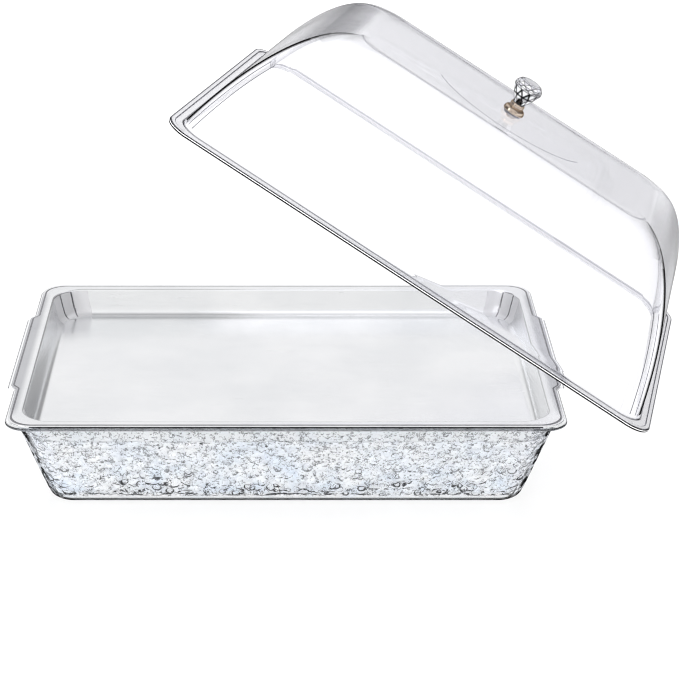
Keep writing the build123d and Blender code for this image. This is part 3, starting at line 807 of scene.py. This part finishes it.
# ------------------------------------------------------------------ serving pan
def build_pan():
    n = (150, 120, 26)
    draft = math.radians(15.0)
    td = math.tan(draft)

    def well(z, off):
        d = (PAN_TOP - z) * td
        return WELL_HX - d + off, WELL_HY - d + off, WELL_R - 0.35 * d + off

    def side(off, lift):
        """Rows over one face of the sheet, from the floor's edge to the flange, off outwards and lift up."""
        rows = []
        fr = 8.0 + off
        fz = WELL_FLOOR - lift
        hx, hy, r = well(fz, off)
        back = fr * (1 / math.cos(draft) - td)
        for a in np.radians(np.linspace(-90, -15, 11)):
            inw = back - fr * math.cos(a)
            rows.append((hx - inw, hy - inw, max(r - inw * 0.9, 4.0), fz + fr * (1 + math.sin(a)), 0.0))
        lr = 2.4 - lift if lift else 2.4
        tz = PAN_TOP - lift
        end = tz - lr * (1 - math.sin(draft))
        for z in np.linspace(rows[-1][3] + 1.0, end - 0.4, 7):
            rows.append((*well(z, off), z, 0.0))
        hx, hy, r = well(tz, off)
        reach = lr * (1 - math.sin(draft)) / math.cos(draft) + 0.0
        cx = hx + reach
        cy = hy + reach
        start = end
        for a in np.radians(np.linspace(180 - 15, 90, 8)):
            rows.append((cx + lr * math.cos(a), cy + lr * math.cos(a), r + reach + lr * math.cos(a), tz - lr + lr * math.sin(a), 0.0))
        return rows

    up = side(0.0, 0.0)
    edge, marks = [], []
    e = 0.46

    def put(inset, z, mark=0, r=PAN_RIM_R, t=PAN_TAB):
        edge.append((PAN_HX - inset, PAN_HY - inset, r, z, t))
        marks.append(mark)

    x0, y0 = up[-1][0], up[-1][1]
    for f in (0.25, 0.55):
        edge.append((x0 + (PAN_HX - 3.2 - x0) * f, y0 + (PAN_HY - 3.2 - y0) * f, WELL_R + (PAN_RIM_R - WELL_R) * f, PAN_TOP, PAN_TAB * f))
        marks.append(0)
    put(2.9, PAN_TOP)
    # a shallow groove, its steel painted darker
    put(2.5, PAN_TOP - 0.06, 2)
    put(1.9, PAN_TOP - 0.22, 2)
    put(1.5, PAN_TOP - 0.18, 2)
    put(1.05, PAN_TOP - 0.04, 0)
    for a in np.radians([90, 70, 50, 30, 10, -10, -35]):
        put(e - e * math.cos(a), PAN_TOP - e + e * math.sin(a))
    # the hem's under-curl takes the painted shadow, along the long sides only
    put(0.5, 73.2, 1)
    put(0.55, 72.9, 1)
    put(0.55, 72.35, 1)
    put(0.7, 72.22, 1)
    put(1.1, 72.25, 1)
    put(1.3, 72.6, 1)
    put(1.9, PAN_TOP - PAN_T - 0.05, 1, t=PAN_TAB * 0.9)
    low = side(PAN_T, PAN_T)[::-1]
    edge.append(((low[0][0] + PAN_HX) / 2, (low[0][1] + PAN_HY) / 2, WELL_R - 3, PAN_TOP - PAN_T, PAN_TAB * 0.4))
    marks.append(0)
    rows = [level(ring(hx, hy, r, *n, tab=t)[0], z) for hx, hy, r, z, t in up + edge + low]
    floor_rows = [rows[0] + (np.array([0, 0, WELL_FLOOR]) - rows[0]) * s for s in (0.9, 0.75, 0.5, 0.25, 0.08)]
    rows = floor_rows[::1] + rows
    rows = inward(rows, (0, 0, WELL_FLOOR - PAN_T), [0.08, 0.25, 0.5, 0.75, 0.9])
    verts, faces = loft(rows, first_cap=(0, 0, WELL_FLOOR), last_cap=(0, 0, WELL_FLOOR - PAN_T))
    faces = [f[::-1] for f in faces]
    bands = [0] * (len(rows) - 1)
    at = len(floor_rows) + len(up) - 1
    bands[at:at + len(marks)] = marks
    bands[at + len(marks):] = [3] * (len(bands) - at - len(marks))
    count = len(rows[0])
    index = np.repeat(bands, count).reshape(-1, count)
    nx, ny, nc = n
    long_side = np.zeros(count, bool)
    long_side[ny + nc:ny + nc + nx] = long_side[2 * ny + 3 * nc + nx:2 * ny + 3 * nc + 2 * nx] = True
    index = np.where((index == 1) & ~long_side[None, :], 0, index)
    # the drawn corners of the well are rougher and painted darker, standing in for their dimmer reflections, with two
    # creases each drawn as painted dark lines
    wall = (np.arange(len(bands)) >= len(floor_rows) + 3) & (np.arange(len(bands)) < at - 6)
    index = np.where(wall[:, None] & corner_columns(*n)[None, :], 4, index)
    for start in (ny, ny + nc + nx, 2 * ny + 2 * nc + nx, 2 * ny + 3 * nc + 2 * nx):
        for share in (0.34, 0.64):
            index[wall, start + int(nc * share)] = 5
    index = np.concatenate([index.ravel(), np.zeros(count, int), np.full(count, 3)])
    ob = add_mesh("serving_pan_sheet", verts, faces, [MAT_STEEL, MAT_HEM_SHADOW, MAT_GROOVE, MAT_SATIN, MAT_DRAWN, MAT_CREASE], index=index)
    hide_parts("serving_pan")
    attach(ob, "pan")


build_pan()


# ------------------------------------------------------------------ dome cover
def reach(k, foot, top, n, m, lean):
    return top + (foot - top) * max(0.0, 1 - k ** n) ** (1 / m) * (1 - lean * k)


def dome_section(k, less, height):
    return (reach(k, DOME_HX - less, DOME_TX, 2.7, 3.15, 0.335), reach(k, DOME_HY - less, DOME_TY, 3.0, 3.35, 0.41),
            18.5 - 0.5 * k - 0.8 * less, k * height)


def build_dome():
    n = nx, ny, nc = 96, 64, 36
    ks = np.unique(np.concatenate([np.linspace(0.04, 0.6, 15), 0.6 + 0.4 * np.sin(np.linspace(0.05, math.pi / 2, 40))]))
    outside, bands, drops = [], [], []

    def put(hx, hy, r, z, band=0, down=0.0):
        """One row, with the material of the strip that leads to it and its drop along the front."""
        outside.append((hx, hy, r, z))
        bands.append(band)
        drops.append(down)

    # flange: inner lower edge, lower face, rounded outer edge, raised bead, step down, upper face, fillet into the wall
    # painted on the flange: grey faces, black over its lower rounded edge and the foot of its upright edge, a painted
    # white highlight above that, a dark rounded lip, and grey lines down the step and the fillet
    fi = dome_section(0.0, DOME_T, DOME_H - DOME_T)
    put(fi[0], fi[1], fi[2], 0.9)
    put(fi[0] + 0.35, fi[1] + 0.35, fi[2] + 0.3, 0.12, 7)
    put(fi[0] + 1.0, fi[1] + 1.0, fi[2] + 0.6, 0.0, 7)
    put(LID_HX - 3.0, LID_HY - 3.0, LID_R - 1.0, 0.0, 7)
    e = 0.5
    for i, a in enumerate(np.radians([-90, -60, -30, 0])):
        put(LID_HX - e + e * math.cos(a), LID_HY - e + e * math.cos(a), LID_R, e + e * math.sin(a), 1 if i else 7)
    put(LID_HX, LID_HY, LID_R, 1.25, 1)
    e = 0.65
    for i, a in enumerate(np.radians([0, 30, 60, 90])):
        put(LID_HX - e + e * math.cos(a), LID_HY - e + e * math.cos(a), LID_R, LID_T - e + e * math.sin(a), 11 if i else 8)
    put(LID_HX - e - 0.5, LID_HY - e - 0.5, LID_R, LID_T, 11)
    put(LID_HX - 3.3, LID_HY - 3.3, LID_R - 1.0, LID_T, 7)
    put(LID_HX - 3.6, LID_HY - 3.6, LID_R - 1.0, LID_T - 0.1, 2)
    put(LID_HX - 3.9, LID_HY - 3.9, LID_R - 1.0, LID_T - 0.45, 2)
    put(LID_HX - 4.2, LID_HY - 4.2, LID_R - 1.0, LID_T - 0.5, 2)
    f, low = 1.6, LID_T - 0.5
    hx, hy, r, _ = dome_section(LID_T / DOME_H, 0.0, DOME_H)
    for i, a in enumerate(np.radians([0, 25, 50, 75])):
        put(hx + f - f * math.sin(a), hy + f - f * math.sin(a), r + (f - f * math.sin(a)) * 0.5, low + f - f * math.cos(a), 2 if i in (1, 2) else 7)
    k_step, k_top, drop = 0.992, 0.9985, 0.10
    fine = np.linspace(0.97, 1.0, 300)
    reach_x, reach_z = [dome_section(k, 0.0, DOME_H)[0] for k in fine][::-1], [k * DOME_H for k in fine][::-1]
    for k in ks:
        if k * DOME_H < low + f + 0.2:
            continue
        if k < k_step - 0.001:
            put(*dome_section(k, 0.0, DOME_H))
        elif k > k_step + 0.002 and k < k_top:
            if outside[-1][3] < k_step * DOME_H:
                x, y, r, z = dome_section(k_step, 0.0, DOME_H)
                put(x, y, r, z)
                for d, band, share in ((0.15, 0, 0.0), (2.0, 13, 1.0), (2.2, 0, 1.0)):
                    put(x - d, y - d, r, float(np.interp(x - d, reach_x, reach_z)), band, drop * share)
            x, y, r, z = dome_section(k, 0.0, DOME_H)
            if x < outside[-1][0] - 0.4:
                put(x, y, r, z, 0, drop * (1 - k) / (1 - k_step))
    put(*dome_section(k_top, 0.0, DOME_H), 0, drop * (1 - k_top) / (1 - k_step))
    inside = [dome_section(k, DOME_T, DOME_H - DOME_T) for k in ks][::-1] + [dome_section(0.02, DOME_T, DOME_H - DOME_T)]
    rows = [level(ring(a, b, c, *n)[0], z) for a, b, c, z in outside]
    m = len(rows[0])
    weight = np.zeros(m)
    a = 2 * ny + 2 * nc + nx
    weight[a:a + nc] = step(np.linspace(0, 1, nc), 0.1, 0.8)
    weight[a + nc:a + nc + nx] = 1
    weight[a + nc + nx:] = step(np.linspace(1, 0, nc), 0.2, 0.9)
    for row, z in zip(rows, drops):
        row[:, 2] -= z * weight

    def crown(edge, top, size, outer):
        """Rows over the top's flat, from its edge to the knob's hole, with the faint oval step round the knob's front."""
        made, band = [], []
        a, b = size
        ang = np.arctan2(edge[:, 1] / b, edge[:, 0] / a)
        oval = np.stack([a * np.cos(ang), b * np.sin(ang)], 1)
        hole = np.stack([2.5 * np.cos(ang), 2.5 * np.sin(ang)], 1)
        near = np.clip(-1.5 * np.sin(ang) - 0.1, 0, 1) if outer else np.zeros(len(edge))
        wide = (0.004 + 0.045 * near)[:, None]
        start = edge[:, 2]
        mid = start + (top - start) * 0.6
        for t in (0.3, 0.6, 0.85):
            made.append(level(edge[:, :2] + (oval * 1.06 - edge[:, :2]) * t, start + (mid - start) * t))
            band.append(0)
        made += [level(oval * 1.06, mid), level(oval * (1 + wide), mid), level(oval, mid - 0.03 * near), level(oval * 0.99, mid - 0.03 * near)]
        band += [0, 0, 3 if outer else 0, 0]
        for t in (0.15, 0.35, 0.6, 0.8, 0.92, 1.0):
            made.append(level(oval * 0.99 + (hole - oval * 0.99) * t, mid - 0.03 * near + (top - mid + 0.03 * near) * t))
            band.append(0)
        return (made, band) if outer else (made[::-1], band)

    top_rows, top_bands = crown(rows[-1], DOME_H, (66.0, 52.0), True)
    inner = [level(ring(a, b, c, *n)[0], z) for a, b, c, z in inside]
    low_rows, low_bands = crown(inner[0], DOME_H - DOME_T, (60.0, 40.0), False)
    count_out = len(rows) + len(top_rows)
    count_in = count_out + len(low_rows)
    rows = rows + top_rows + low_rows + inner
    bands = bands[1:] + top_bands + [0] * (len(low_rows) + len(inner))
    verts, faces = loft(rows)
    last = (len(rows) - 1) * m
    faces += [[last + i, last + (i + 1) % m, (i + 1) % m, i] for i in range(m)]
    index = np.repeat(bands, m).reshape(-1, m)
    height = np.array([r[:, 2].mean() for r in rows[:-1]])
    strip = np.arange(len(rows) - 1)
    skin = strip < count_out - 1
    back = strip >= count_in
    corner = corner_columns(*n)
    front = np.zeros(m, bool)
    front[2 * ny + 2 * nc + nx:] = True
    ends = np.zeros(m, bool)
    ends[:ny] = ends[ny + 2 * nc + nx:2 * ny + 2 * nc + nx] = True
    rear = np.zeros(m, bool)
    rear[ny:ny + nc] = rear[ny + nc + nx:ny + 2 * nc + nx] = True
    high = skin & (height >= 0.55 * DOME_H)
    index = np.where((index == 0) & high[:, None], 5, index)
    index = np.where(np.isin(index, (0, 5)) & (skin & (height > LID_T + 1) & (height < 0.985 * DOME_H))[:, None] & (ends | rear)[None, :], 6, index)
    for low_k, high_k, mark in ((0.0, 0.84, 4), (0.84, 0.88, 17), (0.88, 0.92, 14), (0.92, 0.985, 15)):
        zone = skin & (height > max(LID_T + 1, low_k * DOME_H)) & (height <= high_k * DOME_H)
        columns = corner if mark == 4 else corner & ~rear
        index = np.where(np.isin(index, (0, 5) if mark != 4 else (0, 5)) & zone[:, None] & columns[None, :], mark, index)
    index = np.where((back & (height > LID_T) & (height < 0.8 * DOME_H))[:, None] & rear[None, :], np.where(height > 0.55 * DOME_H, 10, 9)[:, None], index)
    # two fine lines painted dark up inside every corner, standing in for lines the refraction draws there
    streak = skin & (height > LID_T + 1) & (height < 0.62 * DOME_H)
    for start in (ny, ny + nc + nx, 2 * ny + 2 * nc + nx, 2 * ny + 3 * nc + 2 * nx):
        faces_end = start in (ny, 2 * ny + 2 * nc + nx)
        for share in (0.42, 0.63):
            col = start + int(nc * (share if faces_end else 1 - share))
            index[streak, col] = 16
    # finer painted dark lines over the rear corners' shoulders, and two more hugging their lower part
    over = skin & (height > 0.5 * DOME_H) & (height < 0.965 * DOME_H)
    hug = skin & (height > 0.06 * DOME_H) & (height < 0.6 * DOME_H)
    for start, ahead in ((ny, 1), (ny + 2 * nc + nx - 1, -1)):
        for share in (0.0, 0.11, 0.22, 0.33, 0.46, 0.6):
            index[over, start + ahead * int(nc * share)] = 12
        for col in (0, 1):
            index[hug, start + ahead * col] = 16
    # the top's edge line and the oval are small real steps, painted grey as shade along the front only; elsewhere they
    # take the shoulder plastic
    line = index == 13
    index = np.where(line & ~front[None, :], 5, index)
    oval = (index == 3) & high[:, None] & (height[:, None] > 0.99 * DOME_H)
    index = np.where(oval & ~front[None, :], 5, index)
    index = np.concatenate([index.ravel(), np.full(m, 7)])
    # painted shade values: greyer round the ends' shoulders, towards the rear, standing in for their dimmer reflections
    painted_shoulder_shade = np.zeros(m)
    arc = np.arange(nc) / nc
    run = np.linspace(0, 1, ny)
    shade = 0.12 + 0.36 * step(run, 0.2, 1.0)
    fade = step(arc, 0.0, 0.7)
    painted_shoulder_shade[:ny] = shade
    painted_shoulder_shade[ny + 2 * nc + nx:2 * ny + 2 * nc + nx] = shade[::-1]
    painted_shoulder_shade[ny:ny + nc] = 0.48 * (1 - step(arc, 0.4, 1.0))
    painted_shoulder_shade[ny + nc + nx:ny + 2 * nc + nx] = 0.48 * (1 - step(arc, 0.4, 1.0))[::-1]
    painted_shoulder_shade[2 * ny + 2 * nc + nx:2 * ny + 3 * nc + nx] = 0.12 * (1 - fade)
    painted_shoulder_shade[2 * ny + 3 * nc + 2 * nx:] = 0.12 * (1 - fade)[::-1]
    # the same at both ends
    ends = np.zeros(m)
    ends[:ny] = 1
    ends[ny:ny + nc] = 1 - step(arc, 0.4, 1.0)
    ends[ny + nc + nx:ny + 2 * nc + nx] = (1 - step(arc, 0.4, 1.0))[::-1]
    ends[ny + 2 * nc + nx:2 * ny + 2 * nc + nx] = 1
    ends[2 * ny + 2 * nc + nx:2 * ny + 3 * nc + nx] = 1 - fade
    ends[2 * ny + 3 * nc + 2 * nx:] = (1 - fade)[::-1]
    tone = []
    for i, row in enumerate(rows):
        k = row[:, 2] / DOME_H
        if i < count_out:
            grey = 0.7 * painted_shoulder_shade * step(k, 0.4, 0.75) * (1 - step(k, 0.86, 0.985))
            grey = grey + (0.42 - 0.5 * painted_shoulder_shade) * ends * step(k, 0.62, 0.86) * (1 - step(k, 0.975, 0.9995))
            tone.append(1 - grey)
        else:
            tone.append(np.ones(m))
    place = SWING @ Matrix.Translation((0, 0, LID_SEAT * MM))
    mats = [MAT_DOME, MAT_EDGE, MAT_LINE, MAT_FAINT, MAT_CORNER, MAT_SHOULDER, MAT_END, MAT_FLANGE, MAT_PAINTED_HIGHLIGHT, MAT_BACK_LOW, MAT_BACK_HIGH, MAT_LIP, MAT_FINE, MAT_TOP_LINE, MAT_FADE, MAT_FADE_TOP, MAT_STREAK, MAT_FADE_LOW]
    ob = add_mesh("dome_cover_shell", verts, faces, mats, place=place, index=index, tone=np.concatenate(tone))
    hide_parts("dome_cover")
    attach(ob, "cover")


build_dome()


# ------------------------------------------------------------------ knob
LID_PLACE = SWING @ Matrix.Translation((0, 0, LID_SEAT * MM))
Z_BASE = DOME_H + 0.64
Z_CUP = Z_BASE + 8.0


def arris(face, width):
    """A facet drawn in from its edges by an even width."""
    n = len(face)
    normal = np.cross(face[1] - face[0], face[2] - face[0])
    normal /= np.linalg.norm(normal)
    made = []
    for k in range(n):
        a, b, c = face[k - 1], face[k], face[(k + 1) % n]
        u, w = (b - a) / np.linalg.norm(b - a), (c - b) / np.linalg.norm(c - b)
        nu, nw = np.cross(normal, u), np.cross(normal, w)
        made.append(b + (nu + nw) * width / (1 + nu @ nw))
    return made


def build_knob():
    # metal foot and cup, turned, with a scalloped cup edge
    prof = [(1.98, 0.0), (8.1, 0.0), (8.45, 0.12), (8.6, 0.45), (8.6, 1.0), (8.45, 1.7), (8.3, 2.5), (8.05, 3.1), (7.6, 3.6), (6.9, 3.95), (6.1, 4.1), (5.5, 4.2), (5.3, 4.4),
            (5.35, 4.65), (5.6, 4.9), (5.75, 5.2), (5.78, 6.2), (5.75, 7.2), (5.6, 7.7), (5.25, 7.98), (4.85, 8.0), (4.6, 7.8), (4.55, 7.2), (4.55, 5.25), (2.2, 5.2), (2.2, 12.2), (1.6, 12.7), (0.02, 12.7)]
    turns = 180
    ang = np.linspace(0, 2 * math.pi, turns, endpoint=False)
    rows = []
    for r, z in prof:
        dz = np.where(z > 7.0, 0.12 * np.cos(10 * ang), 0.0) if r > 4.56 else 0.0
        dr = 0.06 * np.cos(10 * ang) if 5.4 < z < 7.8 and r > 5.0 else (0.05 * np.cos(12 * ang) if 0.4 < z < 3.7 and r > 7.0 else 0.0)
        rows.append(np.column_stack([(r + dr) * np.cos(ang), (r + dr) * np.sin(ang), np.full(turns, z) + dz]))
    verts, faces = loft(rows)
    last = (len(rows) - 1) * turns
    faces += [[last + i, last + (i + 1) % turns, (i + 1) % turns, i] for i in range(turns)]
    verts[:, 2] += Z_BASE
    # painted shade: the cup's hollow and the stud in it take near-black metal
    index = np.concatenate([np.repeat([1 if i >= len(prof) - 8 else 0 for i in range(len(prof) - 1)], turns), np.ones(turns, int)])
    ob = add_mesh("knob_base_turned", verts, faces, [MAT_KNOB, MAT_CUP], place=LID_PLACE, index=index)
    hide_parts("knob_base")
    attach(ob, "cover")

    # cut crystal: ten pavilion facets, a lobed girdle and a star crown
    s = 10
    a0 = np.arange(s) * 2 * math.pi / s
    a1 = a0 + math.pi / s

    def circ(r, z, a):
        return np.column_stack([r * np.cos(a), r * np.sin(a), np.full(len(a), z)])

    v = [circ(4.4, -2.7, a0), circ(4.4, 0.1, a0), circ(5.1, 1.0, a0), circ(8.7, 7.0, a1), circ(11.5, 13.0, a0), circ(11.75, 14.6, a1), circ(10.9, 16.2, a0), circ(9.0, 18.5, a1), circ(7.2, 19.3, a0)]
    v += [circ(2.35, -2.7, a0), circ(2.35, 4.9, a0)]
    pts = [tuple(x) for x in np.concatenate(v)] + [(0, 0, 5.2)]
    i = lambda row, j: row * s + j % s
    plain, cut_faces = [], []
    for j in range(s):
        plain.append([i(9, j), i(9, j + 1), i(0, j + 1), i(0, j)])
        plain.append([i(10, j), i(10, j + 1), i(9, j + 1), i(9, j)])
        plain.append([i(10, j + 1), i(10, j), len(pts) - 1])
        for row in (0, 1):
            plain.append([i(row, j), i(row, j + 1), i(row + 1, j + 1), i(row + 1, j)])
        for row, turned in ((2, False), (3, True), (4, False), (5, True), (6, False), (7, True)):
            deep = False
            if turned:      # half-step row below, whole-step row above
                cut_faces.append(([i(row, j), i(row + 1, j + 1), i(row + 1, j)], False))
                cut_faces.append(([i(row, j), i(row, j + 1), i(row + 1, j + 1)], deep))
            else:
                cut_faces.append(([i(row, j), i(row, j + 1), i(row + 1, j)], deep))
                cut_faces.append(([i(row, j + 1), i(row + 1, j + 1), i(row + 1, j)], False))
    cut_faces.append(([i(8, j) for j in range(s)], False))
    faces = list(plain)
    index = [0] * len(plain)
    # each facet is inset and the strip round it is painted dark, darker below the girdle, standing in for the outlines
    # refraction draws there
    for face, deep in cut_faces:
        below = max(pts[k][2] for k in face) < 13.5
        lowest = below and min(pts[k][2] for k in face) < 5.0
        upright = below and not lowest and sum(pts[k][2] < 8.0 for k in face) == 2
        inner = arris([np.array(pts[k]) for k in face], 0.42 if lowest else (0.85 if upright else (0.45 if below else 0.24)))
        start = len(pts)
        pts += [tuple(x) for x in inner]
        faces.append([start + k for k in range(len(face))])
        index.append(1 if deep else 0)
        for k in range(len(face)):
            q = (k + 1) % len(face)
            faces.append([face[k], face[q], start + q, start + k])
            index.append(3 if below else 2)
    verts = np.array(pts, float)
    verts[:, 2] += Z_CUP
    ob = add_mesh("knob_crystal_cut", verts, faces, [MAT_CRYSTAL, MAT_FACET, MAT_ARRIS, MAT_ARRIS_LOW], smooth=False, place=LID_PLACE, index=index)
    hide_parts("knob_crystal")
    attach(ob, "cover")


build_knob()

for node, mat in (("knob_gasket", MAT_GASKET), ("knob_washer", MAT_SCREW), ("knob_screw", MAT_SCREW)):
    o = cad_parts[node]
    o.data.materials.clear()
    o.data.materials.append(mat)
    for p in o.data.polygons:
        p.material_index = 0


# ------------------------------------------------------------------ floor, light and camera
def build_stage():
    me = bpy.data.meshes.new("floor")
    s = 7.0
    me.from_pydata([(-s, -s, -0.0004), (s, -s, -0.0004), (s, s, -0.0004), (-s, s, -0.0004)], [], [(0, 1, 2, 3)])
    m, nt, nodes, links = material("light_table")
    out = nodes.new("ShaderNodeOutputMaterial")
    p = nodes.new("ShaderNodeBsdfPrincipled")
    p.inputs["Base Color"].default_value = (0.18, 0.18, 0.18, 1)
    p.inputs["Roughness"].default_value = 0.22
    p.inputs["IOR"].default_value = 1.35
    p.inputs["Emission Color"].default_value = (1, 1, 1, 1)
    p.inputs["Emission Strength"].default_value = 0.78
    links.new(p.outputs["BSDF"], out.inputs["Surface"])
    me.materials.append(m)
    floor = bpy.data.objects.new("floor", me)
    bpy.context.scene.collection.objects.link(floor)

    w = bpy.data.worlds.new("studio")
    bpy.context.scene.world = w
    w.use_nodes = True
    nt = w.node_tree
    nt.nodes.clear()
    nodes, links = nt.nodes, nt.links
    out = nodes.new("ShaderNodeOutputWorld")
    bg = nodes.new("ShaderNodeBackground")
    tc = nodes.new("ShaderNodeTexCoord")
    sep = nodes.new("ShaderNodeSeparateXYZ")
    links.new(tc.outputs["Generated"], sep.inputs["Vector"])
    ramp = nodes.new("ShaderNodeValToRGB")
    ramp.color_ramp.interpolation = "EASE"
    els = ramp.color_ramp.elements
    els[0].position, els[0].color = 0.0, (0.85, 0.85, 0.86, 1)
    els[1].position, els[1].color = 1.0, (0.46, 0.46, 0.47, 1)
    for pos, c in ((0.05, 0.4), (0.12, 0.30), (0.26, 0.32), (0.5, 0.42), (0.66, 0.6), (0.80, 1.0), (0.88, 0.9), (0.94, 0.6)):
        e = els.new(pos)
        e.color = (c, c, c * 1.02, 1)
    X, Y, Z = sep.outputs["X"], sep.outputs["Y"], sep.outputs["Z"]
    links.new(Z, ramp.inputs["Fac"])
    colour = ramp.outputs["Color"]

    def panel(colour, mask, shade):
        """A broad soft panel over part of the sky."""
        mix = nodes.new("ShaderNodeMix")
        mix.data_type = "RGBA"
        mix.inputs["B"].default_value = shade
        links.new(mask, mix.inputs["Factor"])
        links.new(colour, mix.inputs["A"])
        return mix.outputs["Result"]

    wide = maths(nt, "ABSOLUTE", X)
    side = maths(nt, "MULTIPLY", smooth_range(nt, maths(nt, "ABSOLUTE", maths(nt, "SUBTRACT", wide, 0.80)), 0.20, 0.03), smooth_range(nt, Z, 0.85, 0.65))
    front = maths(nt, "MULTIPLY", smooth_range(nt, Y, 0.1, -0.6, 0.0, 0.9), smooth_range(nt, wide, 0.78, 0.62))
    colour = panel(colour, front, (1.0, 1.0, 1.0, 1))
    gap = maths(nt, "MULTIPLY", smooth_range(nt, maths(nt, "ABSOLUTE", maths(nt, "SUBTRACT", wide, 0.36)), 0.07, 0.03), smooth_range(nt, Y, -0.2, -0.4))
    colour = panel(colour, maths(nt, "MULTIPLY", gap, smooth_range(nt, Z, 0.6, 0.4)), (0.10, 0.10, 0.105, 1))
    colour = panel(colour, side, (0.18, 0.18, 0.185, 1))
    back = maths(nt, "MULTIPLY", smooth_range(nt, X, 0.26, 0.19), smooth_range(nt, Y, 0.25, 0.5))
    back = maths(nt, "MULTIPLY", back, smooth_range(nt, Z, 0.16, 0.24))
    colour = panel(colour, back, (0.95, 0.95, 0.96, 1))
    links.new(colour, bg.inputs["Color"])
    bg.inputs["Strength"].default_value = 1.0
    links.new(bg.outputs["Background"], out.inputs["Surface"])

    def softbox(name, loc, target, size, power):
        li = bpy.data.lights.new(name, "AREA")
        li.shape = "RECTANGLE"
        li.size, li.size_y = size
        li.energy = power
        o = bpy.data.objects.new(name, li)
        bpy.context.scene.collection.objects.link(o)
        o.location = loc
        o.rotation_mode = "QUATERNION"
        o.rotation_quaternion = (Vector(target) - Vector(loc)).to_track_quat("-Z", "Y")
        return o

    def fill(name, loc, power):
        """Soft light for the ice and the floor only, kept out of reflections."""
        o = softbox(name, loc, (0, 0, 0.04), (1.4, 0.8), power)
        o.visible_glossy = False
        o.visible_transmission = False
        o.visible_camera = False

    for name, loc in (("fill_front", (0, -1.6, 0.55)), ("fill_back", (0, 1.6, 0.55)), ("fill_left", (-1.7, 0, 0.55)), ("fill_right", (1.7, 0, 0.55))):
        fill(name, loc, 15.0)
    softbox("overhead", (-0.2, 0.1, 1.9), (0, 0, 0.05), (3.0, 2.2), 7.0).visible_glossy = False
    softbox("key", (-1.3, -1.1, 1.3), (0, 0, 0.1), (0.7, 1.1), 7.0)


build_stage()

cam = bpy.data.cameras.new("camera")
cam.sensor_width = 36.0
cam.lens = 2273.28 * 36.0 / 679.0
cam.shift_x = (339.5 - 286.81) / 679.0
cam.clip_start, cam.clip_end = 0.05, 50.0
co = bpy.data.objects.new("camera", cam)
bpy.context.scene.collection.objects.link(co)
co.location = (0.00058, -1.65579, 0.73020)
co.rotation_euler = (math.radians(90 - 21.30), 0, 0)
bpy.context.scene.camera = co

sc = bpy.context.scene
sc.view_settings.view_transform = "Standard"
sc.view_settings.look = "None"
sc.cycles.max_bounces = 24
sc.cycles.transmission_bounces = 24
sc.cycles.glossy_bounces = 10
sc.cycles.diffuse_bounces = 3
sc.cycles.transparent_max_bounces = 16
sc.cycles.use_denoising = True
sc.cycles.filter_width = 1.1
sc.cycles.sample_clamp_indirect = 4.0
